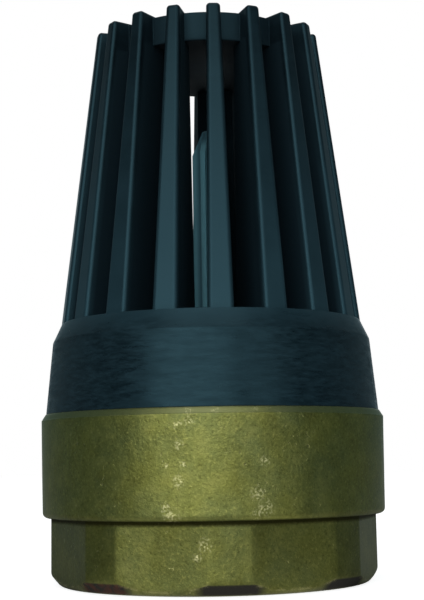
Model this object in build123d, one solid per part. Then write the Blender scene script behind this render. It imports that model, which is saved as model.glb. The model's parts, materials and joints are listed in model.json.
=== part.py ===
# Foot valve: forged brass body with a G1 outlet port and a screwed-in plastic strainer.
# Millimetres, +Z up, origin on the valve axis in the plane of the port face.
# The valve stands on its outlet port, strainer up. The spring holds the poppet up against its seat,
# and suction in the pipe draws the poppet down by poppet_lift.
from build123d import *
import os
from math import cos, pi, radians, tan

os.makedirs("parts", exist_ok=True)

# Body
octagon_flats = 41.0
octagon_land_radius = 21.3
octagon_top = 8.65
foot_radius = 20.1
foot_chamfer_angle = 49.4
foot_edge_radius = 0.9
collar_radius = 22.4
collar_top_radius = 22.55
collar_edge_radius = 0.7
collar_chamfer_low = 21.1
body_top = 21.9
rim_radius = 22.05

# Outlet port, modelled at the major diameter of a G1 thread
port_radius = 16.62
port_depth = 12.0
port_mouth_chamfer = 0.7
web_bore_radius = 13.8
web_top = 14.2
socket_radius = 18.6

# Strainer
strainer_foot_step = 0.1
collar_draft = 0.9
strainer_collar_top = 31.3
shoulder_step = 1.15
shoulder_top = 33.75
shoulder_edge_radius = 0.4
spigot_wall = 2.35
basket_bore_radius = 10.4
slot_floor = 1.75
rib_count = 18
rib_first_angle = 1.2
rib_taper_angle = 6.95
rib_top = 73.3
rib_width = 3.2
rib_inner_width = 2.0
rib_tip_width = 1.85
rib_edge_radius = 0.5
cap_setback = 2.3
cap_thickness = 3.7
cap_step = 0.5
cap_rim_width = 3.6
cap_recess_depth = 0.8

# Clamped stack on the body shoulder
guide_rim = 1.6
guide_rim_width = 4.4
gasket_thickness = 1.0
gasket_inset = 0.2
seat_height = 2.4
seat_lip = 0.4
seat_radius = 10.0
seat_lip_width = 1.1
seat_flare = 1.2
upper_ring_height = 1.6
upper_ring_width = 2.6
upper_arm_width = 2.2
upper_arm_height = 3.0
upper_hub_wall = 1.95
upper_hub_height = 4.3

# Poppet
poppet_lift = 4.5
stem_radius = 2.2
stem_tip_radius = 0.7
stem_tip_low = 57.1
stem_tip_height = 3.3
stem_low = 12.3
stem_flange_radius = 9.2
stem_flange_height = 1.0
stem_cone_height = 1.4
stem_step = 0.4
stem_thread_radius = 3.0
stem_fin_width = 0.7
stem_fin_angle = -3.0
seal_thickness = 1.8
seal_radius = 12.2
seal_bore = 5.6
poppet_edge = 0.5
poppet_plate = 2.2
poppet_lip = 0.8
poppet_boss_radius = 6.7
poppet_boss = 0.8
nut_flats = 10.0
nut_height = 3.2
nut_chamfer = 0.4

# Lower guide and spring
cup_floor_low = 12.1
cup_floor = 1.6
leg_width = 3.0
lower_hub_wall = 1.95
washer_thickness = 0.5
washer_radius = 8.8
spring_wire = 0.8
spring_mean_radius = 7.6
spring_turns = 5.0
spring_end_turns = 0.9
spring_end_gap = 0.04

# Clearances
thread_clearance = 0.05
guide_clearance = 0.05
bore_clearance = 0.05
seal_edge_clearance = 0.05
web_clearance = 0.4
washer_clearance = 0.3
lift_stop_clearance = 0.3
spigot_clearance = 0.1

# Radii that follow from the neighbours
strainer_foot_radius = rim_radius - strainer_foot_step
strainer_collar_radius = strainer_foot_radius - collar_draft
shoulder_radius = strainer_collar_radius - shoulder_step
rib_top_radius = shoulder_radius - (rib_top - shoulder_top) * tan(radians(rib_taper_angle))
spigot_radius = socket_radius - thread_clearance
spigot_bore_radius = spigot_radius - spigot_wall
upper_ring_bore = spigot_bore_radius - upper_ring_width
upper_hub_radius = stem_radius + guide_clearance + upper_hub_wall
lower_hub_radius = stem_radius + guide_clearance + lower_hub_wall
cup_radius = web_bore_radius - web_clearance
poppet_radius = seal_radius + seal_edge_clearance + poppet_edge

# Heights that follow from the stack
guide_seat_top = web_top + guide_rim
spigot_low = guide_seat_top + gasket_thickness
guide_ledge = shoulder_top - slot_floor
seat_top = guide_ledge - upper_ring_height
seat_low = seat_top - seat_height
seat_face = seat_low - seat_lip
seal_low = seat_face - seal_thickness
plate_low = seal_low - poppet_plate
boss_low = plate_low - poppet_boss
nut_low = boss_low - nut_height
cup_floor_top = cup_floor_low + cup_floor
lower_hub_top = nut_low - stem_step - poppet_lift - lift_stop_clearance
spring_low = cup_floor_top + washer_thickness
guide_arm_angles = (90.0, 210.0, 330.0)


def turned(*corners):
    """Solid of revolution about the valve axis from (radius, height) corners."""
    return revolve(Plane.XZ * make_face(Polyline(*corners, close=True)), Axis.Z)


def ring(outer, inner, low, high):
    return turned((inner, low), (outer, low), (outer, high), (inner, high))


def radial_plate(corners, width, angle):
    """Flat web standing on a radius: (radius, height) corners, turned to a plan angle."""
    outline = Plane.XZ * make_face(Polyline(*corners, close=True))
    return Rot(0, 0, angle) * extrude(outline, width / 2, both=True)


def rim_edges(solid, radius, height):
    """Circular edges of a solid at one radius and height."""
    rounds = solid.edges().filter_by(GeomType.CIRCLE)
    return [e for e in rounds if abs(e.radius - radius) < 0.01 and abs(e.center().Z - height) < 0.01]


def valve_body():
    chamfer_rise = (octagon_land_radius - foot_radius) * tan(radians(foot_chamfer_angle))
    prism = extrude(Rot(0, 0, 22.5) * RegularPolygon(octagon_flats / 2 / cos(pi / 8), 8), octagon_top)
    outline = Polyline(
        (0, 0),
        (foot_radius, 0),
        (octagon_land_radius, chamfer_rise),
        (octagon_land_radius, octagon_top),
        (0, octagon_top),
        close=True,
    )
    profile = make_face(outline)
    foot_corners = [v for v in profile.vertices() if v.X > 0 and v.Y < octagon_top / 2]
    blank = revolve(Plane.XZ * fillet(foot_corners, foot_edge_radius), Axis.Z)
    collar = turned(
        (0, octagon_top),
        (collar_radius, octagon_top),
        (collar_top_radius, collar_chamfer_low),
        (rim_radius, body_top),
        (0, body_top),
    )
    collar = fillet(rim_edges(collar, collar_radius, octagon_top), collar_edge_radius)
    bore = turned(
        (0, 0),
        (port_radius + port_mouth_chamfer, 0),
        (port_radius, port_mouth_chamfer),
        (port_radius, port_depth),
        (web_bore_radius, port_depth),
        (web_bore_radius, web_top),
        (socket_radius, web_top),
        (socket_radius, body_top),
        (0, body_top),
    )
    return (prism & blank) + collar - bore


def strainer_rib():
    """One rib on the +X radius: a blade that thins inward and upward, with rounded outer edges and tip."""
    blade = radial_plate(
        (
            (basket_bore_radius, shoulder_top - slot_floor / 2),
            (shoulder_radius, shoulder_top - slot_floor / 2),
            (shoulder_radius, shoulder_top),
            (rib_top_radius, rib_top),
            (basket_bore_radius, rib_top),
        ),
        2 * rib_width,
        0,
    )
    corner = Vector(shoulder_radius, rib_width / 2, shoulder_top)
    inward = Vector(basket_bore_radius, rib_inner_width / 2, shoulder_top) - corner
    upward = Vector(rib_top_radius, rib_tip_width / 2, rib_top) - corner
    side = Plane(origin=corner, x_dir=inward, z_dir=inward.cross(upward))
    blade = split(blade, bisect_by=side, keep=Keep.BOTTOM)
    half = split(blade, bisect_by=Plane.XZ, keep=Keep.BOTTOM)
    rib = half + mirror(half, about=Plane.XZ)
    flank = [e for e in rib.edges() if e.length > rib_width * 3 and e.center().X > rib_top_radius]
    tip = rib.faces().sort_by(Axis.Z)[-1]
    tip_edges = [e for e in tip.edges() if e.center().X > basket_bore_radius + rib_edge_radius]
    return fillet(flank + tip_edges, rib_edge_radius)


def strainer_basket():
    wall = turned(
        (basket_bore_radius, guide_ledge),
        (spigot_bore_radius, guide_ledge),
        (spigot_bore_radius, spigot_low),
        (spigot_radius, spigot_low),
        (spigot_radius, body_top),
        (strainer_foot_radius, body_top),
        (strainer_collar_radius, strainer_collar_top),
        (shoulder_radius, shoulder_top),
        (basket_bore_radius, shoulder_top),
    )
    wall = fillet(rim_edges(wall, strainer_collar_radius, strainer_collar_top), shoulder_edge_radius)
    cap_radius = rib_top_radius - cap_setback
    cap_top = rib_top - cap_step
    recess_radius = cap_radius - cap_rim_width
    cap = turned(
        (0, cap_top - cap_thickness),
        (cap_radius, cap_top - cap_thickness),
        (cap_radius, cap_top),
        (recess_radius, cap_top),
        (recess_radius - cap_recess_depth, cap_top - cap_recess_depth),
        (0, cap_top - cap_recess_depth),
    )
    rib = strainer_rib()
    ribs = [Rot(0, 0, rib_first_angle - 90 + 360 / rib_count * i) * rib for i in range(rib_count)]
    return wall + cap + ribs


def collar_gasket():
    outer = spigot_radius - gasket_inset
    return ring(outer, spigot_bore_radius + gasket_inset, guide_seat_top, spigot_low)


def seat_ring():
    return turned(
        (seat_radius, seat_face),
        (seat_radius + seat_lip_width, seat_face),
        (seat_radius + seat_lip_width, seat_low),
        (spigot_bore_radius, seat_low),
        (spigot_bore_radius, seat_top),
        (seat_radius + seat_flare, seat_top),
        (seat_radius, seat_top - seat_flare),
    )


def upper_guide():
    rim = ring(spigot_bore_radius - bore_clearance, upper_ring_bore, seat_top, guide_ledge)
    hub = ring(upper_hub_radius, stem_radius + guide_clearance, seat_top, seat_top + upper_hub_height)
    arm_root = upper_hub_radius - upper_hub_wall / 2
    arm_end = upper_ring_bore + upper_ring_width / 2
    arm_corners = (
        (arm_root, seat_top),
        (arm_end, seat_top),
        (arm_end, guide_ledge),
        (basket_bore_radius, guide_ledge),
        (arm_root, seat_top + upper_arm_height),
    )
    arms = [radial_plate(arm_corners, upper_arm_width, a) for a in guide_arm_angles]
    return rim + hub + arms


def lower_guide():
    rim = ring(socket_radius - spigot_clearance, socket_radius - guide_rim_width, web_top, guide_seat_top)
    hub = ring(lower_hub_radius, stem_radius + guide_clearance, cup_floor_low, lower_hub_top)
    leg_root = lower_hub_radius - lower_hub_wall / 2
    leg_end = socket_radius - guide_rim_width / 2
    leg_corners = (
        (leg_root, cup_floor_low),
        (cup_radius - cup_floor / 2, cup_floor_low),
        (cup_radius, cup_floor_low + cup_floor / 2),
        (cup_radius, web_top),
        (leg_end, web_top),
        (leg_end, guide_seat_top),
        (cup_radius - cup_floor, guide_seat_top),
        (cup_radius - 2 * cup_floor, cup_floor_top),
        (leg_root, cup_floor_top),
    )
    legs = [radial_plate(leg_corners, leg_width, a) for a in guide_arm_angles]
    plate = ring(washer_radius, leg_root, cup_floor_low, cup_floor_top)
    return rim + hub + plate + legs


def spring_washer():
    return ring(washer_radius, lower_hub_radius + washer_clearance, cup_floor_top, spring_low)


def return_spring():
    """Cylindrical compression spring with closed end turns."""
    low = spring_low + spring_wire / 2
    high = plate_low - spring_wire / 2
    closed_rise = spring_end_turns * (spring_wire + spring_end_gap)
    open_rise = high - low - 2 * closed_rise
    open_turns = spring_turns - 2 * spring_end_turns
    turn = 0.0
    rise = low
    coils = []
    for turns, height in ((spring_end_turns, closed_rise), (open_turns, open_rise), (spring_end_turns, closed_rise)):
        coil = Helix(pitch=height / turns, height=height, radius=spring_mean_radius)
        coils.append((Pos(0, 0, rise) * Rot(0, 0, 360 * turn) * coil).edge())
        turn += turns
        rise += height
    path = Wire(coils)
    wire = Plane(origin=path @ 0, z_dir=path % 0) * Circle(spring_wire / 2)
    return sweep(wire, path=path, is_frenet=True, transition=Transition.TRANSFORMED)


def guide_stem():
    """Poppet's stem: round and threaded below its flange, four pointed fins in the upper guide above it."""
    flange_top = seat_face + stem_flange_height
    stem_top = stem_tip_low + stem_tip_height
    shank = turned(
        (0, stem_low),
        (stem_radius - stem_step, stem_low),
        (stem_radius, stem_low + stem_step),
        (stem_radius, nut_low - stem_step),
        (stem_thread_radius, nut_low),
        (stem_thread_radius, seat_face),
        (stem_flange_radius, seat_face),
        (stem_flange_radius, flange_top),
        (stem_radius, flange_top + stem_cone_height),
        (0, flange_top + stem_cone_height),
    )
    point = turned(
        (0, flange_top),
        (stem_radius, flange_top),
        (stem_radius, stem_tip_low),
        (stem_tip_radius, stem_top),
        (0, stem_top),
    )
    point = fillet(rim_edges(point, stem_tip_radius, stem_top), stem_tip_radius * 0.6)
    fin = extrude(Rectangle(2 * stem_radius, stem_fin_width), stem_top)
    cross = Rot(0, 0, stem_fin_angle) * (fin + Rot(0, 0, 90) * fin)
    return shank + (point & cross)


def seal_ring():
    return ring(seal_radius, seal_bore, seal_low, seat_face)


def poppet_disc():
    bore = stem_thread_radius + guide_clearance
    lip_bore = seal_radius + seal_edge_clearance
    return turned(
        (bore, boss_low),
        (poppet_boss_radius, boss_low),
        (poppet_boss_radius, plate_low),
        (poppet_radius, plate_low),
        (poppet_radius, seal_low + poppet_lip),
        (lip_bore, seal_low + poppet_lip),
        (lip_bore, seal_low),
        (seal_bore - seal_edge_clearance, seal_low),
        (seal_bore - seal_edge_clearance, seat_face),
        (bore, seat_face),
    )


def stem_nut():
    corner_radius = nut_flats / 2 / cos(pi / 6)
    nut = extrude(Pos(0, 0, nut_low) * RegularPolygon(corner_radius, 6), nut_height)
    turned_blank = turned(
        (0, nut_low),
        (nut_flats / 2, nut_low),
        (corner_radius, nut_low + nut_chamfer),
        (corner_radius, boss_low - nut_chamfer),
        (nut_flats / 2, boss_low),
        (0, boss_low),
    )
    bore = ring(stem_thread_radius + thread_clearance, 0, nut_low, boss_low)
    return (nut & turned_blank) - bore


nodes = {
    "valve_body": valve_body,
    "strainer_basket": strainer_basket,
    "collar_gasket": collar_gasket,
    "seat_ring": seat_ring,
    "upper_guide": upper_guide,
    "lower_guide": lower_guide,
    "spring_washer": spring_washer,
    "return_spring": return_spring,
    "guide_stem": guide_stem,
    "seal_ring": seal_ring,
    "poppet_disc": poppet_disc,
    "stem_nut": stem_nut,
}

for name, build_node in nodes.items():
    node = build_node()
    export_step(node, os.path.join("parts", name + ".step"))
    box = node.bounding_box()
    print(name, len(node.solids()), "solid", [round(v, 2) for v in (*box.min, *box.max)], round(node.volume, 1))
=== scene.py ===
import json
import math
import bpy
from mathutils import Matrix, Vector


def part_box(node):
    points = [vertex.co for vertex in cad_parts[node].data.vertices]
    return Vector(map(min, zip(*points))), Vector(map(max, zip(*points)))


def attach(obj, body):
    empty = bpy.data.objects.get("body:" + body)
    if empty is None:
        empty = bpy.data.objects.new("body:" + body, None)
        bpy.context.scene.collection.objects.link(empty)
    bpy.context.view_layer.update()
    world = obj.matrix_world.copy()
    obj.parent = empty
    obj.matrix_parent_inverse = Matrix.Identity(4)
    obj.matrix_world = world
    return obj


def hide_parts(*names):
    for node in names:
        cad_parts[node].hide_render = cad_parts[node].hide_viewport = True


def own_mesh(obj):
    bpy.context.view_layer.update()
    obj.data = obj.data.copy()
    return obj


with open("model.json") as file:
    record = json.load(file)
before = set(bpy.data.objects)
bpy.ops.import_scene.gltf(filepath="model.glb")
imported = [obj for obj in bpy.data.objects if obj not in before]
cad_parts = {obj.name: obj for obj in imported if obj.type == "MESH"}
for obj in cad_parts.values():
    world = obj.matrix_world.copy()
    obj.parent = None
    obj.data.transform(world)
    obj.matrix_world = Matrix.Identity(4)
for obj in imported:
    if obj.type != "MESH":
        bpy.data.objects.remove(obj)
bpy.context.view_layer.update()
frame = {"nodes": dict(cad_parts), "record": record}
nodes = frame["nodes"]
mm = 0.001


def linear(hexColour):
    # An sRGB hex colour as the linear one that sockets take.
    channels = [int(hexColour[i:i + 2], 16) / 255 for i in (1, 3, 5)]
    curve = [c / 12.92 if c <= 0.04045 else ((c + 0.055) / 1.055) ** 2.4 for c in channels]
    return (*curve, 1.0)


def fillSockets(tree, node, values):
    # Links or sets each input that is named.
    for name, value in values.items():
        if isinstance(value, bpy.types.NodeSocket):
            tree.links.new(value, node.inputs[name])
        else:
            node.inputs[name].default_value = value


def addNode(tree, kind, settings=None, links=None, output=None):
    # Adds a shader node with its settings and links, and gives back the output that is named,
    # or else the first one in use.
    node = tree.nodes.new("ShaderNode" + kind)
    for name, value in (settings or {}).items():
        setattr(node, name, value)
    fillSockets(tree, node, links or {})
    return node.outputs[output] if output else next(o for o in node.outputs if o.enabled)


def newMaterial(name):
    # Returns the material, its tree, its shader and the object-space position.
    material = bpy.data.materials.new(name)
    material.use_nodes = True
    tree = material.node_tree
    shader = tree.nodes["Principled BSDF"]
    place = addNode(tree, "TexCoord", output="Object")
    return material, tree, shader, place


def splitPlace(tree, place):
    # Height above the port face and distance from the axis, both in metres.
    parts = addNode(tree, "SeparateXYZ", {}, {0: place}).node.outputs
    square = addNode(tree, "Math", {"operation": "ADD"}, {
        0: addNode(tree, "Math", {"operation": "MULTIPLY"}, {0: parts[0], 1: parts[0]}),
        1: addNode(tree, "Math", {"operation": "MULTIPLY"}, {0: parts[1], 1: parts[1]}),
    })
    return parts[2], addNode(tree, "Math", {"operation": "SQRT"}, {0: square})


forgedBrassLook = {
    "name": "sand_blasted_forged_brass",
    "colour": "#7c7e40",
    "grey": "#6e7545",
    "speck": "#9d9b56",
    "pit": "#47451f",
    "fresh": "#b5ae78",
    "turned": "#808258",
    # dark skin at the foot's corners, partly painted shade
    "footSkinAndShade": "#1f1b10",
    "rust": "#4a2614",
    # dark tone of the painted shadow under the collar, also mixed into the octagon below the step
    "darkTone": "#2b2a12",
    # near-white tone of the painted highlights
    "glint": "#eee6ac",
    "roughness": 0.42,
    "turnedRoughness": 0.42,
    "freshPolish": 0.17,
    "skinDulling": 0.3,
    "skinMetalLoss": 0.7,
    "cloudMm": 5.0,  # slow change of tone over the casting
    "cloudBand": (0.36, 0.68),
    "patchMm": 2.4,
    "grainMm": 0.34,  # blasting leaves pits of about 0.1 mm, drawn coarser so that they show
    "coarseMm": 1.02,  # groups of pits
    # Each layer is a pattern, where it starts and is full, its strength, and its tone.
    "layers": [
        ("patch", 0.5, 0.75, 0.4, "speck"),
        ("patch", 0.5, 0.25, 0.3, "pit"),
        ("grain", 0.54, 0.72, 0.7, "speck"),
        ("grain", 0.44, 0.3, 0.55, "pit"),
    ],
    "nickMm": 0.6,
    "nickBand": (0.63, 0.72),
    "nickGroupMm": 4.5,
    "nickGroupBand": (0.52, 0.64),
    "nickStrength": 0.4,
    "edgeMm": 0.35,
    "lowEdgeMm": 0.5,  # added on the octagon
    "rubBand": (0.42, 0.6),
    "rubStrength": 0.8,
    "rimMm": (21.1, 21.16),
    "footMm": (0.02, 0.1),
    "boreMm": (18.7, 18.8),
    "turnedStrength": (0.55, 0.4),  # everywhere, and more where it is cloudy
    "toolMm": 0.22,  # feed of the lathe tool
    "toolDepth": 0.08,  # share of the relief
    "footRise": 1.2 / 1.4,  # slope of the cone that cuts the corners of the foot
    "skinMm": (20.0, 20.08),
    "skinCorner": (0.19, 0.27),  # in eighths of a turn from a corner
    "rustMm": 5,  # rust is full at -X beyond this, and none at +X beyond it
    "stepMm": 8.65,
    "dullLow": 0.25,
    "dullStartMm": 0.1,
    "shadowStartMm": 0.05,
    "shadowMm": (0.4, 0.8),  # drop over which the painted shadow ends
    "shadowRagMm": 0.15,
    "shadowStrength": 0.9,
    "reliefMm": 0.08,
    "reliefStrength": 0.8,
    "grainRelief": 0.6,  # share of the relief
    "coarseRelief": 0.5,
    "nickRelief": 0.5,
    "edgeSamples": 6,
    "rimRadiusMm": 22.4,
    "flatMm": 20.5,
    "glintGrainMm": 0.3,
    "glintBand": (0.48, 0.66),
    "glintStrength": 0.8,
    # Painted highlights: azimuth in degrees, height and width in mm.
    "glints": [
        (10.3, 21.5, 0.7), (10.6, 20.2, 0.8), (7.3, 19.7, 0.7), (7.5, 17.5, 0.7), (3.2, 15.1, 0.5),
        (7.1, 13.3, 0.9), (8.5, 15.2, 0.6), (3.0, 10.3, 0.8), (4.8, 9.2, 1.3), (14.6, 5.9, 1.1),
        (12.0, 4.6, 0.7), (30.7, 11.8, 1.1), (33.1, 10.1, 1.3), (30.5, 9.4, 0.9), (18.3, 21.6, 0.6),
        (30.4, 21.7, 0.5), (33.0, 15.5, 0.8),
    ],
}


def wornEdges(tree, soft):
    # 1 near corners, inside and outside ones alike, where the rounded normal leaves the face's.
    rubStart, rubFull = 0.02, 0.09  # 1 minus the cosine between the two
    plain = addNode(tree, "NewGeometry", output="Normal")
    across = addNode(tree, "VectorMath", {"operation": "DOT_PRODUCT"}, {0: plain, 1: soft})
    return addNode(tree, "MapRange", {}, {
        "Value": addNode(tree, "Math", {"operation": "SUBTRACT"}, {0: 1.0, 1: across}),
        "From Min": rubStart,
        "From Max": rubFull,
    })


def paintedGlintMask(tree, place, look):
    # 1 at the painted highlights: small near-white spots on the round rim above the step and on the
    #                              flats below it.
    speckle = addNode(tree, "TexNoise", {}, {
        "Vector": place, "Scale": 1 / (look["glintGrainMm"] * mm), "Roughness": 0.6,
    })
    broken = addNode(tree, "MapRange", {}, {
        "Value": speckle, "From Min": look["glintBand"][0], "From Max": look["glintBand"][1],
    })
    total = 0.0
    for azimuth, height, width in look["glints"]:
        a = math.radians(azimuth)
        across = look["rimRadiusMm"] if height > look["stepMm"] else look["flatMm"] / math.cos(a)
        point = (across * math.sin(a) * mm, -across * math.cos(a) * mm, height * mm)
        apart = addNode(tree, "VectorMath", {"operation": "DISTANCE"}, {0: place, 1: point})
        total = addNode(tree, "Math", {"operation": "MAXIMUM"}, {
            0: addNode(tree, "MapRange", {}, {"Value": apart, "From Min": width * mm, "From Max": 0.0}),
            1: total,
        })
    glint = addNode(tree, "Math", {"operation": "MULTIPLY"}, {0: total, 1: broken})
    return addNode(tree, "Math", {"operation": "MULTIPLY"}, {0: glint, 1: look["glintStrength"]})


def forgedBrass(look):
    # Forged and blasted brass: a fine grain that scatters the light into a dull satin, with a
    # few bright nicks and rubbed corners, and painted highlights at listed places. The rim
    # chamfer, foot and bore are turned and show tool marks. The corners of the foot are dark,
    # partly from the forging's skin and rust and partly from painted shade of the down-facing
    # chamfer, and a painted shadow darkens the step under the collar.
    material, tree, shader, place = newMaterial(look["name"])
    height, radius = splitPlace(tree, place)

    # Where it is turned.
    rim = addNode(tree, "MapRange", {}, {
        "Value": height, "From Min": look["rimMm"][0] * mm, "From Max": look["rimMm"][1] * mm,
    })
    aboveFoot = addNode(tree, "MapRange", {}, {
        "Value": height, "From Min": look["footMm"][0] * mm, "From Max": look["footMm"][1] * mm,
    })
    foot = addNode(tree, "Math", {"operation": "SUBTRACT"}, {0: 1.0, 1: aboveFoot})
    outsideBore = addNode(tree, "MapRange", {}, {
        "Value": radius, "From Min": look["boreMm"][0] * mm, "From Max": look["boreMm"][1] * mm,
    })
    bore = addNode(tree, "Math", {"operation": "SUBTRACT"}, {0: 1.0, 1: outsideBore})
    turned = addNode(tree, "Math", {"operation": "MAXIMUM"}, {
        0: addNode(tree, "Math", {"operation": "MAXIMUM"}, {0: rim, 1: foot}),
        1: bore,
    })

    # A dark skin on the cone of the foot at the octagon's corners: partly the forging's skin and rust,
    # partly painted shade of the down-facing chamfer.
    cone = addNode(tree, "Math", {"operation": "SUBTRACT"}, {
        0: radius,
        1: addNode(tree, "Math", {"operation": "MULTIPLY"}, {0: height, 1: look["footRise"]}),
    })
    parts = addNode(tree, "SeparateXYZ", {}, {0: place}).node.outputs
    turn = addNode(tree, "Math", {"operation": "ARCTAN2"}, {0: parts[1], 1: parts[0]})
    eighth = addNode(tree, "Math", {"operation": "ADD"}, {
        0: addNode(tree, "Math", {"operation": "MULTIPLY"}, {0: turn, 1: 4 / math.pi}),
        1: 8.0,
    })
    fromCorner = addNode(tree, "Math", {"operation": "SUBTRACT"}, {
        0: addNode(tree, "Math", {"operation": "FRACT"}, {0: eighth}),
        1: 0.5,
    })
    flat = addNode(tree, "MapRange", {}, {
        "Value": addNode(tree, "Math", {"operation": "ABSOLUTE"}, {0: fromCorner}),
        "From Min": look["skinCorner"][0],
        "From Max": look["skinCorner"][1],
    })
    corner = addNode(tree, "Math", {"operation": "SUBTRACT"}, {0: 1.0, 1: flat})
    footSkinAndShade = addNode(tree, "Math", {"operation": "MULTIPLY"}, {
        0: addNode(tree, "MapRange", {}, {
            "Value": cone, "From Min": look["skinMm"][0] * mm, "From Max": look["skinMm"][1] * mm,
        }),
        1: corner,
    })
    footSkinAndShade = addNode(tree, "Math", {"operation": "MULTIPLY"}, {
        0: footSkinAndShade,
        1: addNode(tree, "Math", {"operation": "SUBTRACT"}, {0: 1.0, 1: turned}),
    })

    # Patterns of the blasted face.
    cloud = addNode(tree, "TexNoise", {}, {
        "Vector": place, "Scale": 1 / (look["cloudMm"] * mm), "Detail": 4.0, "Roughness": 0.6,
    })
    cloud = addNode(tree, "MapRange", {}, {
        "Value": cloud, "From Min": look["cloudBand"][0], "From Max": look["cloudBand"][1],
    })
    grain = addNode(tree, "TexNoise", {}, {
        "Vector": place, "Scale": 1 / (look["grainMm"] * mm), "Detail": 3.0, "Roughness": 0.7,
    })
    coarse = addNode(tree, "TexNoise", {}, {
        "Vector": place, "Scale": 1 / (look["coarseMm"] * mm), "Roughness": 0.6,
    })
    patch = addNode(tree, "TexNoise", {}, {
        "Vector": place, "Scale": 1 / (look["patchMm"] * mm), "Detail": 3.0, "Roughness": 0.6,
    })

    # How far it is below the step, with a ragged line, and the painted shadow that the collar casts
    # there.
    ragged = addNode(tree, "Math", {"operation": "SUBTRACT"}, {
        0: height,
        1: addNode(tree, "Math", {"operation": "MULTIPLY"}, {0: grain, 1: look["shadowRagMm"] * mm}),
    })
    drop = addNode(tree, "Math", {"operation": "SUBTRACT"}, {0: look["stepMm"] * mm, 1: ragged})
    below = addNode(tree, "MapRange", {}, {
        "Value": drop, "From Min": -look["shadowStartMm"] * mm, "From Max": look["shadowStartMm"] * mm,
    })
    clear = addNode(tree, "MapRange", {}, {
        "Value": drop, "From Min": look["shadowMm"][0] * mm, "From Max": look["shadowMm"][1] * mm,
    })
    under = addNode(tree, "Math", {"operation": "MULTIPLY"}, {
        0: below,
        1: addNode(tree, "Math", {"operation": "SUBTRACT"}, {0: 1.0, 1: clear}),
    })
    lowDown = addNode(tree, "MapRange", {}, {
        "Value": drop, "From Min": -look["dullStartMm"] * mm, "From Max": look["dullStartMm"] * mm,
    })

    # Rubbed corners and nicks, where fresh metal shows.
    edgeSize = addNode(tree, "Math", {"operation": "ADD"}, {
        0: look["edgeMm"] * mm,
        1: addNode(tree, "Math", {"operation": "MULTIPLY"}, {0: lowDown, 1: look["lowEdgeMm"] * mm}),
    })
    soft = addNode(tree, "Bevel", {"samples": look["edgeSamples"]}, {"Radius": edgeSize})
    uneven = addNode(tree, "MapRange", {}, {
        "Value": coarse, "From Min": look["rubBand"][0], "From Max": look["rubBand"][1],
    })
    rubbed = addNode(tree, "Math", {"operation": "MULTIPLY"}, {0: wornEdges(tree, soft), 1: uneven})
    rubbed = addNode(tree, "Math", {"operation": "MULTIPLY"}, {
        0: rubbed,
        1: addNode(tree, "Math", {"operation": "SUBTRACT"}, {0: 1.0, 1: under}),
    })
    nick = addNode(tree, "TexNoise", {}, {
        "Vector": place, "Scale": 1 / (look["nickMm"] * mm), "Detail": 3.0, "Roughness": 0.6,
    })
    nick = addNode(tree, "MapRange", {}, {
        "Value": nick, "From Min": look["nickBand"][0], "From Max": look["nickBand"][1],
    })
    group = addNode(tree, "TexNoise", {}, {
        "Vector": place, "Scale": 1 / (look["nickGroupMm"] * mm), "Detail": 1.0,
    })
    group = addNode(tree, "MapRange", {}, {
        "Value": group, "From Min": look["nickGroupBand"][0], "From Max": look["nickGroupBand"][1],
    })
    nick = addNode(tree, "Math", {"operation": "MULTIPLY"}, {0: nick, 1: group})
    rubbedPart = addNode(tree, "Math", {"operation": "MULTIPLY"}, {0: rubbed, 1: look["rubStrength"]})
    fresh = addNode(tree, "Math", {"operation": "MAXIMUM"}, {
        0: rubbedPart,
        1: addNode(tree, "Math", {"operation": "MULTIPLY"}, {0: nick, 1: look["nickStrength"]}),
    })

    # Colour, from the blasted face outwards.
    colour = addNode(tree, "Mix", {"data_type": "RGBA"}, {
        0: cloud, 6: linear(look["colour"]), 7: linear(look["grey"]),
    })
    patterns = {"patch": patch, "grain": grain}
    for pattern, start, full, strength, tone in look["layers"]:
        amount = addNode(tree, "Math", {"operation": "MULTIPLY"}, {
            0: addNode(tree, "MapRange", {}, {
                "Value": patterns[pattern], "From Min": start, "From Max": full,
            }),
            1: strength,
        })
        colour = addNode(tree, "Mix", {"data_type": "RGBA"}, {
            0: amount, 6: colour, 7: linear(look[tone]),
        })
    turnedAll, turnedCloudy = look["turnedStrength"]
    cloudy = addNode(tree, "Math", {"operation": "ADD"}, {
        0: turnedAll,
        1: addNode(tree, "Math", {"operation": "MULTIPLY"}, {0: cloud, 1: turnedCloudy}),
    })
    rustSide = addNode(tree, "MapRange", {}, {
        "Value": parts[0], "From Min": look["rustMm"] * mm, "From Max": -look["rustMm"] * mm,
    })
    rusty = addNode(tree, "Math", {"operation": "MULTIPLY"}, {
        0: addNode(tree, "MapRange", {}, {
            "Value": coarse, "From Min": look["rubBand"][0], "From Max": look["rubBand"][1],
        }),
        1: rustSide,
    })
    skin = addNode(tree, "Mix", {"data_type": "RGBA"}, {
        0: rusty, 6: linear(look["footSkinAndShade"]), 7: linear(look["rust"]),
    })
    cut = addNode(tree, "Math", {"operation": "MULTIPLY"}, {0: turned, 1: cloudy})
    # The octagon below the step is darkened a quarter of the way to the dark tone.
    dulled = addNode(tree, "Math", {"operation": "MULTIPLY"}, {0: lowDown, 1: look["dullLow"]})
    # Painted shadow of the collar on the step below it.
    paintedShadow = addNode(tree, "Math", {"operation": "MULTIPLY"}, {0: under, 1: look["shadowStrength"]})
    tones = [
        (cut, linear(look["turned"])),
        (dulled, linear(look["darkTone"])),
        (paintedShadow, linear(look["darkTone"])),
        # Dark skin at the foot's corners: partly real skin and rust, partly painted shade.
        (footSkinAndShade, skin),
        (fresh, linear(look["fresh"])),
        # Painted highlights in a near-white tone at the listed places.
        (paintedGlintMask(tree, place, look), linear(look["glint"])),
    ]
    for amount, tone in tones:
        colour = addNode(tree, "Mix", {"data_type": "RGBA"}, {0: amount, 6: colour, 7: tone})

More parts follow.
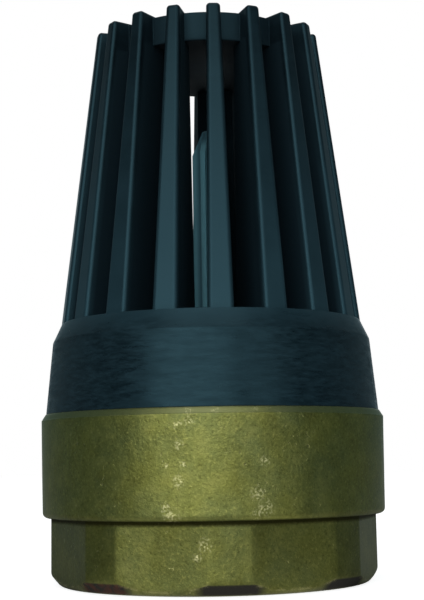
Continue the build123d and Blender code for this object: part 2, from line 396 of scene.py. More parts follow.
    # Roughness: fresh metal is smoother; the foot's dark skin and the painted shadow under the collar
    # are duller.
    bright = addNode(tree, "Math", {"operation": "MULTIPLY"}, {
        0: addNode(tree, "Math", {"operation": "MAXIMUM"}, {0: fresh, 1: nick}),
        1: look["freshPolish"],
    })
    rough = addNode(tree, "Math", {"operation": "SUBTRACT"}, {0: look["roughness"], 1: bright})
    dull = addNode(tree, "Math", {"operation": "MULTIPLY"}, {
        0: addNode(tree, "Math", {"operation": "MAXIMUM"}, {0: footSkinAndShade, 1: under}),
        1: look["skinDulling"],
    })
    rough = addNode(tree, "Math", {"operation": "ADD"}, {0: rough, 1: dull})
    rough = addNode(tree, "Mix", {"data_type": "FLOAT"}, {
        0: turned, 2: rough, 3: look["turnedRoughness"],
    })

    # Relief: grain and nicks where it is blasted, tool marks where it is turned.
    blasted = addNode(tree, "Math", {"operation": "ADD"}, {
        0: addNode(tree, "Math", {"operation": "MULTIPLY"}, {0: grain, 1: look["grainRelief"]}),
        1: addNode(tree, "Math", {"operation": "MULTIPLY"}, {0: coarse, 1: look["coarseRelief"]}),
    })
    blasted = addNode(tree, "Math", {"operation": "SUBTRACT"}, {
        0: blasted,
        1: addNode(tree, "Math", {"operation": "MULTIPLY"}, {0: nick, 1: look["nickRelief"]}),
    })
    along = addNode(tree, "Math", {"operation": "MULTIPLY"}, {
        0: addNode(tree, "Math", {"operation": "ADD"}, {0: height, 1: radius}),
        1: 2 * math.pi / (look["toolMm"] * mm),
    })
    ridges = addNode(tree, "Math", {"operation": "MULTIPLY"}, {
        0: addNode(tree, "Math", {"operation": "SINE"}, {0: along}),
        1: look["toolDepth"],
    })
    relief = addNode(tree, "Mix", {"data_type": "FLOAT"}, {0: turned, 2: blasted, 3: ridges})

    metal = addNode(tree, "Math", {"operation": "SUBTRACT"}, {
        0: 1.0,
        1: addNode(tree, "Math", {"operation": "MULTIPLY"}, {0: footSkinAndShade, 1: look["skinMetalLoss"]}),
    })
    fillSockets(tree, shader, {
        "Base Color": colour,
        "Metallic": metal,
        "Roughness": rough,
        "Normal": addNode(tree, "Bump", {}, {
            "Height": relief,
            "Distance": look["reliefMm"] * mm,
            "Strength": look["reliefStrength"],
            "Normal": soft,
        }),
    })
    return material


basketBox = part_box("strainer_basket")
capLowMm = basketBox[1][2] / mm - 4.3  # underside of the cap
nylonLook = {
    "name": "moulded_black_nylon",
    "colour": "#070d11",
    "low": "#1e3138",  # paler tone, low on the ribs
    "worn": "#22353d",
    "inner": "#0c141a",  # painted shade in the slots
    "shine": "#9ce4fa",  # tint of its reflections
    "ior": 1.53,
    "specular": 0.3,
    "roughness": 0.28,
    "shoulderMm": (19.9, 33.75),  # radius and height where the ribs start
    "taper": 6.95,  # degrees, of the cone that the ribs' edges lie on
    "slotMm": (0.4, 1.2),  # depth behind the ribs' outer edges
    "slotRiseMm": 0.4,
    "slotDulling": 0.5,
    "capMm": (capLowMm + 0.1, capLowMm + 0.4),
    "capDepthMm": (2.7, 3.1),
    "capShadeSpared": 0.6,
    "collarMm": (31.2, 34.5),
    "collarShade": 0.85,
    "lowMm": (34.0, 70.0),
    "mottleMm": 5.0,
    "mottleBand": (0.35, 0.7),
    "mottleStrength": 0.2,
    "mottleRoughness": 0.06,
    "scuffMm": 0.9,
    "scuffStretch": (0.4, 0.4, 1.8),
    "scuffBand": (0.4, 0.8),
    "scuffStrength": (0.2, 0.6),  # everywhere, and more on the collar
    "scuffRoughness": 0.25,
    "scuffPatchMm": 7.0,
    "scuffPatchBand": (0.1, 0.5),
    "streakMm": 1.44,
    "streakStretch": (0.35, 0.35, 1.6),
    "streakBand": (0.35, 0.65),
    "streakMiddle": 0.45,  # streaks shine below this and are dull above it
    "streakRoughness": 0.2,
    "skinMm": 0.35,  # the moulding's texture, drawn coarser than it is so that it shows
    "edgeMm": 0.2,
    "edgeSamples": 4,
    "reliefMm": 0.02,
    "reliefStrength": 0.5,
    "skinRelief": 0.5,  # share of the relief
    "scuffRelief": 0.6,
    "streakRelief": 0.45,
}


def blackNylon(look):
    # Glass-filled nylon as moulded: a satin blue-black skin. The outer faces are paler, most of all
    # low on the ribs, and a painted shade keeps the surfaces deep in the slots between them black.
    # The collar has fine scuffs and streaks round it.
    material, tree, shader, place = newMaterial(look["name"])
    height, radius = splitPlace(tree, place)

    # Depth behind the cone of the ribs' outer edges.
    shoulderRadius, shoulderTop = look["shoulderMm"]
    rise = addNode(tree, "Math", {"operation": "SUBTRACT"}, {0: height, 1: shoulderTop * mm})
    inward = addNode(tree, "Math", {"operation": "MULTIPLY"}, {
        0: rise, 1: math.tan(math.radians(look["taper"])),
    })
    envelope = addNode(tree, "Math", {"operation": "SUBTRACT"}, {0: shoulderRadius * mm, 1: inward})
    depth = addNode(tree, "Math", {"operation": "SUBTRACT"}, {0: envelope, 1: radius})

    # The cap is mostly spared the painted slot shade, though it is set back from the tips.
    cap = addNode(tree, "MapRange", {}, {
        "Value": height, "From Min": look["capMm"][0] * mm, "From Max": look["capMm"][1] * mm,
    })
    capInside = addNode(tree, "MapRange", {}, {
        "Value": depth, "From Min": look["capDepthMm"][0] * mm, "From Max": look["capDepthMm"][1] * mm,
    })
    cap = addNode(tree, "Math", {"operation": "MULTIPLY"}, {
        0: cap,
        1: addNode(tree, "Math", {"operation": "SUBTRACT"}, {0: 1.0, 1: capInside}),
    })
    deep = addNode(tree, "MapRange", {}, {
        "Value": depth, "From Min": look["slotMm"][0] * mm, "From Max": look["slotMm"][1] * mm,
    })
    inner = addNode(tree, "Math", {"operation": "MULTIPLY"}, {
        0: deep,
        1: addNode(tree, "MapRange", {}, {
            "Value": rise, "From Min": 0.0, "From Max": look["slotRiseMm"] * mm,
        }),
    })
    capPart = addNode(tree, "Math", {"operation": "MULTIPLY"}, {0: cap, 1: look["capShadeSpared"]})
    inner = addNode(tree, "Math", {"operation": "MULTIPLY"}, {
        0: inner,
        1: addNode(tree, "Math", {"operation": "SUBTRACT"}, {0: 1.0, 1: capPart}),
    })

    aboveCollar = addNode(tree, "MapRange", {}, {
        "Value": height, "From Min": look["collarMm"][0] * mm, "From Max": look["collarMm"][1] * mm,
    })
    collar = addNode(tree, "Math", {"operation": "SUBTRACT"}, {0: 1.0, 1: aboveCollar})
    highUp = addNode(tree, "MapRange", {}, {
        "Value": height, "From Min": look["lowMm"][0] * mm, "From Max": look["lowMm"][1] * mm,
    })
    low = addNode(tree, "Math", {"operation": "SUBTRACT"}, {0: 1.0, 1: highUp})
    collarPart = addNode(tree, "Math", {"operation": "MULTIPLY"}, {0: collar, 1: look["collarShade"]})
    low = addNode(tree, "Math", {"operation": "MULTIPLY"}, {
        0: low,
        1: addNode(tree, "Math", {"operation": "SUBTRACT"}, {0: 1.0, 1: collarPart}),
    })

    mottle = addNode(tree, "TexNoise", {}, {
        "Vector": place, "Scale": 1 / (look["mottleMm"] * mm), "Detail": 3.0, "Roughness": 0.6,
    })
    mottle = addNode(tree, "MapRange", {}, {
        "Value": mottle, "From Min": look["mottleBand"][0], "From Max": look["mottleBand"][1],
    })
    scuff = addNode(tree, "TexNoise", {}, {
        "Vector": addNode(tree, "VectorMath", {"operation": "MULTIPLY"}, {
            0: place, 1: look["scuffStretch"],
        }),
        "Scale": 1 / (look["scuffMm"] * mm),
        "Detail": 5.0,
        "Roughness": 0.75,
    })
    scuff = addNode(tree, "MapRange", {}, {
        "Value": scuff, "From Min": look["scuffBand"][0], "From Max": look["scuffBand"][1],
    })
    patch = addNode(tree, "TexNoise", {}, {
        "Vector": place, "Scale": 1 / (look["scuffPatchMm"] * mm), "Detail": 3.0, "Roughness": 0.6,
    })
    patch = addNode(tree, "MapRange", {}, {
        "Value": patch, "From Min": look["scuffPatchBand"][0], "From Max": look["scuffPatchBand"][1],
    })
    scuffAll, scuffCollar = look["scuffStrength"]
    handled = addNode(tree, "Math", {"operation": "ADD"}, {
        0: addNode(tree, "Math", {"operation": "MULTIPLY"}, {0: collar, 1: scuffCollar}),
        1: scuffAll,
    })
    scuff = addNode(tree, "Math", {"operation": "MULTIPLY"}, {
        0: addNode(tree, "Math", {"operation": "MULTIPLY"}, {0: scuff, 1: patch}),
        1: handled,
    })
    streak = addNode(tree, "TexNoise", {}, {
        "Vector": addNode(tree, "VectorMath", {"operation": "MULTIPLY"}, {
            0: place, 1: look["streakStretch"],
        }),
        "Scale": 1 / (look["streakMm"] * mm),
        "Detail": 4.0,
        "Roughness": 0.7,
    })
    streak = addNode(tree, "MapRange", {}, {
        "Value": streak, "From Min": look["streakBand"][0], "From Max": look["streakBand"][1],
    })
    skin = addNode(tree, "TexNoise", {}, {"Vector": place, "Scale": 1 / (look["skinMm"] * mm)})

    uneven = addNode(tree, "Math", {"operation": "MULTIPLY"}, {
        0: addNode(tree, "Math", {"operation": "SUBTRACT"}, {0: mottle, 1: 0.5}),
        1: look["mottleStrength"],
    })
    tone = addNode(tree, "Math", {"operation": "ADD", "use_clamp": True}, {0: low, 1: uneven})
    colour = addNode(tree, "Mix", {"data_type": "RGBA"}, {
        0: tone, 6: linear(look["colour"]), 7: linear(look["low"]),
    })
    colour = addNode(tree, "Mix", {"data_type": "RGBA"}, {0: scuff, 6: colour, 7: linear(look["worn"])})
    # Painted shade on the surfaces deep in the slots.
    colour = addNode(tree, "Mix", {"data_type": "RGBA"}, {
        0: inner, 6: colour, 7: linear(look["inner"]),
    })

    aboutMiddle = addNode(tree, "Math", {"operation": "SUBTRACT"}, {0: streak, 1: look["streakMiddle"]})
    onCollar = addNode(tree, "Math", {"operation": "MULTIPLY"}, {0: collar, 1: look["streakRoughness"]})
    changes = [
        addNode(tree, "Math", {"operation": "MULTIPLY"}, {0: scuff, 1: look["scuffRoughness"]}),
        addNode(tree, "Math", {"operation": "MULTIPLY"}, {0: mottle, 1: look["mottleRoughness"]}),
        addNode(tree, "Math", {"operation": "MULTIPLY"}, {0: aboutMiddle, 1: onCollar}),
        addNode(tree, "Math", {"operation": "MULTIPLY"}, {0: inner, 1: look["slotDulling"]}),
    ]
    rough = look["roughness"]
    for change in changes:
        rough = addNode(tree, "Math", {"operation": "ADD"}, {0: rough, 1: change})

    relief = addNode(tree, "Math", {"operation": "ADD"}, {
        0: addNode(tree, "Math", {"operation": "MULTIPLY"}, {0: skin, 1: look["skinRelief"]}),
        1: addNode(tree, "Math", {"operation": "MULTIPLY"}, {0: scuff, 1: look["scuffRelief"]}),
    })
    streaks = addNode(tree, "Math", {"operation": "MULTIPLY"}, {
        0: addNode(tree, "Math", {"operation": "MULTIPLY"}, {0: streak, 1: collar}),
        1: look["streakRelief"],
    })
    relief = addNode(tree, "Math", {"operation": "ADD"}, {0: relief, 1: streaks})
    soft = addNode(tree, "Bevel", {"samples": look["edgeSamples"]}, {
        "Radius": look["edgeMm"] * mm,
    })
    fillSockets(tree, shader, {
        "Base Color": colour,
        "Roughness": rough,
        "Normal": addNode(tree, "Bump", {}, {
            "Height": relief,
            "Distance": look["reliefMm"] * mm,
            "Strength": look["reliefStrength"],
            "Normal": soft,
        }),
        "IOR": look["ior"],
        "Specular IOR Level": look["specular"],
        "Specular Tint": linear(look["shine"]),
    })
    return material


acetalLook = {
    "colour": "#1d2b31",
    "light": "#2c3d44",
    "edge": "#2c3d44",
    "edgeStrength": 0.0,
    "edgeMm": (1.3, 1.8),  # radius over which the painted fin highlight comes in
    "shine": "#ffffff",
    "ior": 1.48,
    "roughness": 0.38,
    "flowMm": 4.0,
    "flowStretch": (1, 1, 0.4),
    "flowBand": (0.35, 0.7),
    "flowRoughness": 0.1,
    "skinMm": 0.3,  # coarser than it is, so that it shows
    "bevelMm": 0.15,
    "bevelSamples": 4,
    "reliefMm": 0.015,
    "reliefStrength": 0.5,
}
stemLook = {
    **acetalLook,
    "colour": "#2a3f46",
    "light": "#33505a",
    # pale tone of the painted highlight on the fin tips
    "edge": "#527c86",
    "edgeStrength": 1.0,
    "shine": "#93e5ff",
}


def acetal(name, look):
    # Acetal moulding: smooth, slightly waxy, with faint flow marks. On the stem alone the fin
    # tips beyond a radius are painted paler: a painted highlight.
    material, tree, shader, place = newMaterial(name)
    radius = splitPlace(tree, place)[1]
    flow = addNode(tree, "TexNoise", {}, {
        "Vector": addNode(tree, "VectorMath", {"operation": "MULTIPLY"}, {
            0: place, 1: look["flowStretch"],
        }),
        "Scale": 1 / (look["flowMm"] * mm),
        "Detail": 3.0,
        "Roughness": 0.6,
    })
    flow = addNode(tree, "MapRange", {}, {
        "Value": flow, "From Min": look["flowBand"][0], "From Max": look["flowBand"][1],
    })
    skin = addNode(tree, "TexNoise", {}, {"Vector": place, "Scale": 1 / (look["skinMm"] * mm)})
    colour = addNode(tree, "Mix", {"data_type": "RGBA"}, {
        0: flow, 6: linear(look["colour"]), 7: linear(look["light"]),
    })
    # Painted highlight: the stem's fin tips are paler beyond a radius.
    finHighlight = addNode(tree, "MapRange", {}, {
        "Value": radius, "From Min": look["edgeMm"][0] * mm, "From Max": look["edgeMm"][1] * mm,
    })
    finHighlight = addNode(tree, "Math", {"operation": "MULTIPLY"}, {0: finHighlight, 1: look["edgeStrength"]})
    colour = addNode(tree, "Mix", {"data_type": "RGBA"}, {0: finHighlight, 6: colour, 7: linear(look["edge"])})
    rough = addNode(tree, "Math", {"operation": "ADD"}, {
        0: look["roughness"],
        1: addNode(tree, "Math", {"operation": "MULTIPLY"}, {0: flow, 1: look["flowRoughness"]}),
    })
    soft = addNode(tree, "Bevel", {"samples": look["bevelSamples"]}, {
        "Radius": look["bevelMm"] * mm,
    })
    fillSockets(tree, shader, {
        "Base Color": colour,
        "Roughness": rough,
        "Normal": addNode(tree, "Bump", {}, {
            "Height": skin,
            "Distance": look["reliefMm"] * mm,
            "Strength": look["reliefStrength"],
            "Normal": soft,
        }),
        "IOR": look["ior"],
        "Specular Tint": linear(look["shine"]),
    })
    return material


turnedBrassLook = {
    "name": "turned_brass",
    "colour": "#c2b274",
    "dull": "#a3945a",
    "roughness": 0.26,
    "pitchMm": 0.18,  # feed of the lathe tool
    "cloudMm": 4.0,
    "cloudBand": (0.35, 0.7),
    "cloudRoughness": 0.12,
    "reliefMm": 0.006,
    "reliefStrength": 0.6,
}


def turnedBrass(look):
    # Turned brass: bright, with fine rings from the lathe tool.
    material, tree, shader, place = newMaterial(look["name"])
    height, radius = splitPlace(tree, place)
    along = addNode(tree, "Math", {"operation": "MULTIPLY"}, {
        0: addNode(tree, "Math", {"operation": "ADD"}, {0: height, 1: radius}),
        1: 2 * math.pi / (look["pitchMm"] * mm),
    })
    rings = addNode(tree, "Math", {"operation": "SINE"}, {0: along})
    cloud = addNode(tree, "TexNoise", {}, {
        "Vector": place, "Scale": 1 / (look["cloudMm"] * mm), "Detail": 3.0, "Roughness": 0.6,
    })
    cloud = addNode(tree, "MapRange", {}, {
        "Value": cloud, "From Min": look["cloudBand"][0], "From Max": look["cloudBand"][1],
    })
    colour = addNode(tree, "Mix", {"data_type": "RGBA"}, {
        0: cloud, 6: linear(look["colour"]), 7: linear(look["dull"]),
    })
    rough = addNode(tree, "Math", {"operation": "ADD"}, {
        0: look["roughness"],
        1: addNode(tree, "Math", {"operation": "MULTIPLY"}, {0: cloud, 1: look["cloudRoughness"]}),
    })
    fillSockets(tree, shader, {
        "Base Color": colour,
        "Metallic": 1.0,
        "Roughness": rough,
        "Normal": addNode(tree, "Bump", {}, {
            "Height": rings,
            "Distance": look["reliefMm"] * mm,
            "Strength": look["reliefStrength"],
        }),
    })
    return material


steelLook = {
    "colour": "#b9bbb8",
    "dull": "#9a9c9a",
    "roughness": 0.3,
    "markBand": (0.35, 0.7),
    "markRoughness": 0.12,
    "reliefMm": 0.008,
    "reliefStrength": 0.6,
    "stretch": (1, 1, 1),
}
# The marks of drawing and pressing are finer than this, and are drawn coarser so that they show.
wireLook = {**steelLook, "name": "drawn_stainless_wire", "markMm": 0.3}
washerLook = {**steelLook, "name": "pressed_stainless_washer", "markMm": 0.4}
nutLook = {**steelLook, "name": "stainless_nut", "markMm": 0.5, "stretch": (1, 1, 0.3)}


def stainlessSteel(look):
    # Stainless steel: cool grey with fine marks, even on wire and washer, upright on the nut.
    material, tree, shader, place = newMaterial(look["name"])
    marks = addNode(tree, "TexNoise", {}, {
        "Vector": addNode(tree, "VectorMath", {"operation": "MULTIPLY"}, {
            0: place, 1: look["stretch"],
        }),
        "Scale": 1 / (look["markMm"] * mm),
        "Detail": 3.0,
        "Roughness": 0.6,
    })
    marked = addNode(tree, "MapRange", {}, {
        "Value": marks, "From Min": look["markBand"][0], "From Max": look["markBand"][1],
    })
    colour = addNode(tree, "Mix", {"data_type": "RGBA"}, {
        0: marked, 6: linear(look["colour"]), 7: linear(look["dull"]),
    })
    rough = addNode(tree, "Math", {"operation": "ADD"}, {
        0: look["roughness"],
        1: addNode(tree, "Math", {"operation": "MULTIPLY"}, {0: marks, 1: look["markRoughness"]}),
    })
    fillSockets(tree, shader, {
        "Base Color": colour,
        "Metallic": 1.0,
        "Roughness": rough,
        "Normal": addNode(tree, "Bump", {}, {
            "Height": marks,
            "Distance": look["reliefMm"] * mm,
            "Strength": look["reliefStrength"],
        }),
    })
    return material


rubberLook = {
    "name": "nitrile_rubber",
    "colour": "#17191a",
    "bloom": "#2a2d2e",
    "ior": 1.52,
    "roughness": 0.7,
    "bloomMm": 2.0,
    "bloomBand": (0.4, 0.75),
    "bloomRoughness": 0.12,
    "skinMm": 0.2,  # coarser than it is, so that it shows
    "reliefMm": 0.02,
    "reliefStrength": 0.5,
}


def nitrileRubber(look):
    # Nitrile rubber: matt black with a faint grey bloom.
    material, tree, shader, place = newMaterial(look["name"])
    bloom = addNode(tree, "TexNoise", {}, {
        "Vector": place, "Scale": 1 / (look["bloomMm"] * mm), "Detail": 4.0, "Roughness": 0.6,
    })
    bloom = addNode(tree, "MapRange", {}, {
        "Value": bloom, "From Min": look["bloomBand"][0], "From Max": look["bloomBand"][1],
    })
    skin = addNode(tree, "TexNoise", {}, {"Vector": place, "Scale": 1 / (look["skinMm"] * mm)})
    colour = addNode(tree, "Mix", {"data_type": "RGBA"}, {
        0: bloom, 6: linear(look["colour"]), 7: linear(look["bloom"]),
    })
    rough = addNode(tree, "Math", {"operation": "ADD"}, {
        0: look["roughness"],
        1: addNode(tree, "Math", {"operation": "MULTIPLY"}, {0: bloom, 1: look["bloomRoughness"]}),
    })
    fillSockets(tree, shader, {
        "Base Color": colour,
        "Roughness": rough,
        "Normal": addNode(tree, "Bump", {}, {
            "Height": skin,
            "Distance": look["reliefMm"] * mm,
            "Strength": look["reliefStrength"],
        }),
        "IOR": look["ior"],
    })
    return material


brass = forgedBrass(forgedBrassLook)
steelWire = stainlessSteel(wireLook)
rubber = nitrileRubber(rubberLook)
finishes = {
    "valve_body": brass,
    "strainer_basket": blackNylon(nylonLook),
    "collar_gasket": rubber,
    "seat_ring": turnedBrass(turnedBrassLook),
    "upper_guide": acetal("guide_acetal", acetalLook),
    "spring_washer": stainlessSteel(washerLook),
    "return_spring": steelWire,
    "guide_stem": acetal("stem_acetal", stemLook),
    "seal_ring": rubber,
    "poppet_disc": acetal("poppet_acetal", acetalLook),
    "stem_nut": stainlessSteel(nutLook),
}
finishes["lower_guide"] = finishes["upper_guide"]
for name, material in finishes.items():
    nodes[name].data.materials.clear()
    nodes[name].data.materials.append(material)
print("materials done")


def meshPiece(name, points, faces, material, smooth=True):
    mesh = bpy.data.meshes.new(name)
    mesh.from_pydata(points, [], faces)
    mesh.materials.append(material)
    mesh.polygons.foreach_set("use_smooth", [smooth] * len(mesh.polygons))
    mesh.update()
    piece = bpy.data.objects.new(name, mesh)
    bpy.context.scene.collection.objects.link(piece)
    return piece


def gridFaces(rows, columns, closed):
    # Four-sided faces between the rows of a grid of points, joined round when it is closed.
    last = columns if closed else columns - 1
    faces = []
    for row in range(0, (rows - 1) * columns, columns):
        for c in range(last):
            following = (c + 1) % columns
            faces.append((row + c, row + following, row + columns + following, row + columns + c))
    return faces


portMount = next(m for m in frame["record"]["mounts"] if m["name"] == "outlet_port")
portThread = {
    "majorMm": portMount["dims"]["r_mm"] - 0.02,  # just inside the bore
    "depthMm": 1.48,
    "pitchMm": 2.309,
    "mouthMm": 17.3,
    "endMm": 11.9,
    "fadeMm": 1.4,  # over which the ridges run out at their end
    "startMm": 0.72,
    "flatShare": 0.16,  # of half a pitch, flat at root and crest
    "rounding": 0.35,  # 0 for straight flanks, 1 for wavy ones
    "stepsPerTurn": 90,
    "rowsPerPitch": 12,
}


def threadRadius(spec, height, turn):
    # Radius of the G1 thread at one place: rounded crests inward, cut back by the mouth chamfer.
    phase = (height / spec["pitchMm"] + turn) % 1.0
    flat = spec["flatShare"]
    ridge = min(max((abs(phase - 0.5) * 2 - flat) / (1 - 2 * flat), 0.0), 1.0)
    smooth = ridge * ridge * (3 - 2 * ridge)
    ridge = smooth * spec["rounding"] + ridge * (1 - spec["rounding"])
    fade = min(max((spec["endMm"] - height) / spec["fadeMm"], 0.0), 1.0)
    chamfer = min(spec["mouthMm"] - height, spec["majorMm"])
    return max(spec["majorMm"] - spec["depthMm"] * ridge * fade, chamfer)


def makePortThread(spec):
    rows = int(spec["endMm"] / spec["pitchMm"] * spec["rowsPerPitch"]) + 1
    columns = spec["stepsPerTurn"]
    points = []
    for r in range(rows):
        height = spec["startMm"] + (spec["endMm"] - spec["startMm"]) * r / (rows - 1)
        for c in range(columns):
            angle = 2 * math.pi * c / columns
            radius = threadRadius(spec, height, -c / columns)
            points.append((radius * math.cos(angle) * mm, radius * math.sin(angle) * mm, height * mm))
    piece = meshPiece("port_thread", points, gridFaces(rows, columns, True), brass)
    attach(piece, "housing")


makePortThread(portThread)
print("port thread done")

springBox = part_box("return_spring")
returnSpring = {
    "lowMm": springBox[0][2] / mm,
    "highMm": springBox[1][2] / mm,
    "outerMm": springBox[1][0] / mm,
    "wireMm": 0.8,
    "turns": 5.0,
    "closedTurns": 0.9,  # at each end
    "closedGap": 1.05,  # rise of a closed turn in wire widths
    "stepsPerTurn": 40,
    "sides": 12,
    "shut": 4.9 / 9.4,  # length at full lift over length at rest
}


def springHeight(spec, turn):
    # Height of the wire's middle: closed turns at both ends, open ones between.
    low = spec["lowMm"] + spec["wireMm"] / 2
    high = spec["highMm"] - spec["wireMm"] / 2
    closed = spec["closedTurns"]
    rise = closed * spec["wireMm"] * spec["closedGap"]
    if turn <= closed:
        return low + turn / closed * rise
    if turn >= spec["turns"] - closed:
        return high - (spec["turns"] - turn) / closed * rise
    return low + rise + (turn - closed) / (spec["turns"] - 2 * closed) * (high - low - 2 * rise)


def makeSpring(spec):
    mean = spec["outerMm"] - spec["wireMm"] / 2
    steps = int(spec["turns"] * spec["stepsPerTurn"])
    points = []
    for s in range(steps + 1):
        turn = s / spec["stepsPerTurn"]
        angle = 2 * math.pi * turn
        height = springHeight(spec, turn)
        for k in range(spec["sides"]):
            lean = 2 * math.pi * k / spec["sides"]
            radius = mean + spec["wireMm"] / 2 * math.cos(lean)
            level = height + spec["wireMm"] / 2 * math.sin(lean)
            points.append((radius * math.cos(angle) * mm, radius * math.sin(angle) * mm, level * mm))
    faces = gridFaces(steps + 1, spec["sides"], True)
    faces.append(tuple(range(spec["sides"])))
    faces.append(tuple(range(steps * spec["sides"], (steps + 1) * spec["sides"]))[::-1])
    piece = meshPiece("return_spring_wire", points, faces, steelWire)
    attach(piece, "housing")
    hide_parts("return_spring")
    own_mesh(piece)


makeSpring(returnSpring)
print("return spring done")

stage = {
    "floorSize": 3.0,
    "floorDropMm": 0.03,
    "floorColour": "#9c9c9c",
    "floorGlow": 0.86,  # near the valve
    "glowReach": (0.06, 0.3),  # metres from the axis over which it rises to 1
    "floorSheen": 0.6,
    "sheenReach": (0.03, 0.06),
    "frontSpread": (0.5, 0.9),  # cosines of the turn from the front azimuth
    "lampAim": 0.036,  # height in metres
    "worldLevel": 0.178,
    "worldColour": "#c8f3ff",
    "backdropAzimuth": 197.5,
    "backdropSpread": (0.9, 1.0),
    "backdropShine": 0.7,
    "frontAzimuth": 17.5,
}


def towards(tree, direction, azimuth, spread):
    # 1 for directions near an azimuth, 0 for the rest; spread holds two cosines.
    a = math.radians(azimuth)
    flat = addNode(tree, "VectorMath", {"operation": "MULTIPLY"}, {0: direction, 1: (1, 1, 0)})
    unit = addNode(tree, "VectorMath", {"operation": "NORMALIZE"}, {0: flat})
    centre = (math.sin(a), -math.cos(a), 0)
    across = addNode(tree, "VectorMath", {"operation": "DOT_PRODUCT"}, {0: unit, 1: centre})
    return addNode(tree, "MapRange", {}, {
        "Value": across, "From Min": spread[0], "From Max": spread[1],
    })


def seenAsWhite(tree, direction, sheen):
    # Camera rays see the background white all round. Reflections see it white behind the valve
    # and as bright as sheen elsewhere.
    path = addNode(tree, "LightPath").node.outputs
    shiny = addNode(tree, "Math", {"operation": "ADD", "use_clamp": True}, {
        0: path["Is Glossy Ray"], 1: path["Is Transmission Ray"],
    })
    behind = towards(tree, direction, stage["backdropAzimuth"], stage["backdropSpread"])
    behind = addNode(tree, "Math", {"operation": "MULTIPLY"}, {0: behind, 1: stage["backdropShine"]})
    share = addNode(tree, "Math", {"operation": "MAXIMUM"}, {0: behind, 1: sheen})
    return addNode(tree, "Math", {"operation": "ADD", "use_clamp": True}, {
        0: path["Is Camera Ray"],
        1: addNode(tree, "Math", {"operation": "MULTIPLY"}, {0: shiny, 1: share}),
    })


def makeFloor(spec):
    # A matt floor that glows white to the camera. From below it is clear, so that the valve's
    # underside shows.
    half = spec["floorSize"] / 2
    material, tree, shader, place = newMaterial("studio_floor")
    tree.nodes.remove(shader)
    radius = splitPlace(tree, place)[1]
    lit = addNode(tree, "BsdfDiffuse", {}, {"Color": linear(spec["floorColour"])})
    far = addNode(tree, "MapRange", {}, {
        "Value": radius, "From Min": spec["glowReach"][0], "From Max": spec["glowReach"][1],
    })
    level = addNode(tree, "Math", {"operation": "ADD"}, {
        0: spec["floorGlow"],
        1: addNode(tree, "Math", {"operation": "MULTIPLY"}, {0: far, 1: 1 - spec["floorGlow"]}),
    })
    beyond = addNode(tree, "MapRange", {}, {
        "Value": radius, "From Min": spec["sheenReach"][0], "From Max": spec["sheenReach"][1],
    })
    near = addNode(tree, "Math", {"operation": "SUBTRACT"}, {0: 1.0, 1: beyond})
    front = towards(tree, place, spec["frontAzimuth"], spec["frontSpread"])
    sheen = addNode(tree, "Math", {"operation": "MULTIPLY"}, {
        0: addNode(tree, "Math", {"operation": "MULTIPLY"}, {0: near, 1: front}),
        1: spec["floorSheen"],
    })
    strength = addNode(tree, "Math", {"operation": "MULTIPLY"}, {
        0: seenAsWhite(tree, place, sheen), 1: level,
    })
    glow = addNode(tree, "Emission", {}, {"Color": (1, 1, 1, 1), "Strength": strength})
    above = addNode(tree, "AddShader", {}, {0: lit, 1: glow})
    below = addNode(tree, "BsdfTransparent")
    side = addNode(tree, "NewGeometry", output="Backfacing")
    surface = addNode(tree, "MixShader", {}, {0: side, 1: above, 2: below})
    fillSockets(tree, tree.nodes["Material Output"], {"Surface": surface})
    low = -spec["floorDropMm"] * mm
    corners = [(-half, -half, low), (half, -half, low), (half, half, low), (-half, half, low)]
    floor = meshPiece("floor", corners, [(0, 1, 2, 3)], material, False)


def makeWorld(spec):
    # Dim, faintly blue-green ambient light, seen as white by the camera.
    world = bpy.data.worlds.new("studio")
    world.use_nodes = True
    tree = world.node_tree
    direction = addNode(tree, "TexCoord", output="Generated")
    seen = seenAsWhite(tree, direction, 0.0)
    level = addNode(tree, "Mix", {"data_type": "FLOAT"}, {0: seen, 2: spec["worldLevel"], 3: 1.0})
    tint = addNode(tree, "Mix", {"data_type": "RGBA"}, {
        0: seen, 6: linear(spec["worldColour"]), 7: (1, 1, 1, 1),
    })
    fillSockets(tree, tree.nodes["Background"], {"Color": tint, "Strength": level})
    bpy.context.scene.world = world


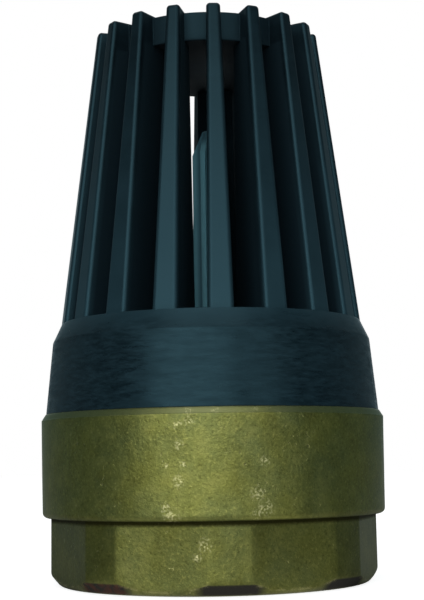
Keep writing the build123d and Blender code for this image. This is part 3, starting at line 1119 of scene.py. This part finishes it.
def makeLamp(spec):
    # A soft rectangular lamp; level is the brightness that it gives a white surface facing it.
    light = bpy.data.lights.new(spec["name"], "AREA")
    light.shape = "RECTANGLE"
    light.size, light.size_y = spec["size"]
    light.energy = spec["level"] * (math.pi * spec["distance"]) ** 2
    lamp = bpy.data.objects.new(spec["name"], light)
    a, e = math.radians(spec["azimuth"]), math.radians(spec["elevation"])
    back = Vector((math.sin(a) * math.cos(e), -math.cos(a) * math.cos(e), math.sin(e)))
    turn = back.to_track_quat("Z", "Y").to_matrix().to_4x4()
    aim = Vector((0, 0, stage["lampAim"]))
    lamp.matrix_world = Matrix.Translation(aim + back * spec["distance"]) @ turn
    lamp.visible_glossy = spec["shiny"]
    bpy.context.scene.collection.objects.link(lamp)


lamps = [
    {
        "name": "front_softbox",
        "azimuth": 3, "elevation": 14, "distance": 0.6, "size": (0.62, 0.5),
        "level": 0.66, "shiny": True,
    },
    {
        "name": "right_softbox",
        "azimuth": 50, "elevation": 16, "distance": 0.7, "size": (0.28, 0.5),
        "level": 0.11, "shiny": True,
    },
    {
        "name": "top_softbox",
        "azimuth": 12, "elevation": 64, "distance": 0.6, "size": (0.5, 0.4),
        "level": 0.22, "shiny": True,
    },
    {
        "name": "rear_left_fill",
        "azimuth": -117, "elevation": 35, "distance": 0.7, "size": (0.4, 0.4),
        "level": 0.28, "shiny": False,
    },
    {
        "name": "rear_right_fill",
        "azimuth": 152, "elevation": 35, "distance": 0.7, "size": (0.4, 0.4),
        "level": 0.28, "shiny": False,
    },
]

camera = {
    "azimuth": 17.5,
    "distance": 0.17086,
    "height": 0.01526,
    "pitch": 7.3,
    "yaw": 0.07,
    "roll": 0.94,
    "lens": 76.72,
    "sensor": 36.0,
    "clip": (0.005, 20),
}


def makeCamera(spec):
    # Height and distance in metres, from the valve's axis at the port face.
    data = bpy.data.cameras.new("camera")
    data.sensor_fit = "VERTICAL"
    data.sensor_height = spec["sensor"]
    data.lens = spec["lens"]
    data.clip_start, data.clip_end = spec["clip"]
    item = bpy.data.objects.new("camera", data)
    a = math.radians(spec["azimuth"])
    away = spec["distance"]
    place = Matrix.Translation((math.sin(a) * away, -math.cos(a) * away, spec["height"]))
    turn = Matrix.Rotation(a - math.radians(spec["yaw"]), 4, "Z")
    tilt = Matrix.Rotation(math.radians(90 + spec["pitch"]), 4, "X")
    lean = Matrix.Rotation(-math.radians(spec["roll"]), 4, "Z")
    item.matrix_world = place @ turn @ tilt @ lean
    bpy.context.scene.collection.objects.link(item)
    bpy.context.scene.camera = item


makeFloor(stage)
makeWorld(stage)
for lamp in lamps:
    makeLamp(lamp)
makeCamera(camera)
bpy.context.scene.view_settings.view_transform = "Standard"
print("stage done")
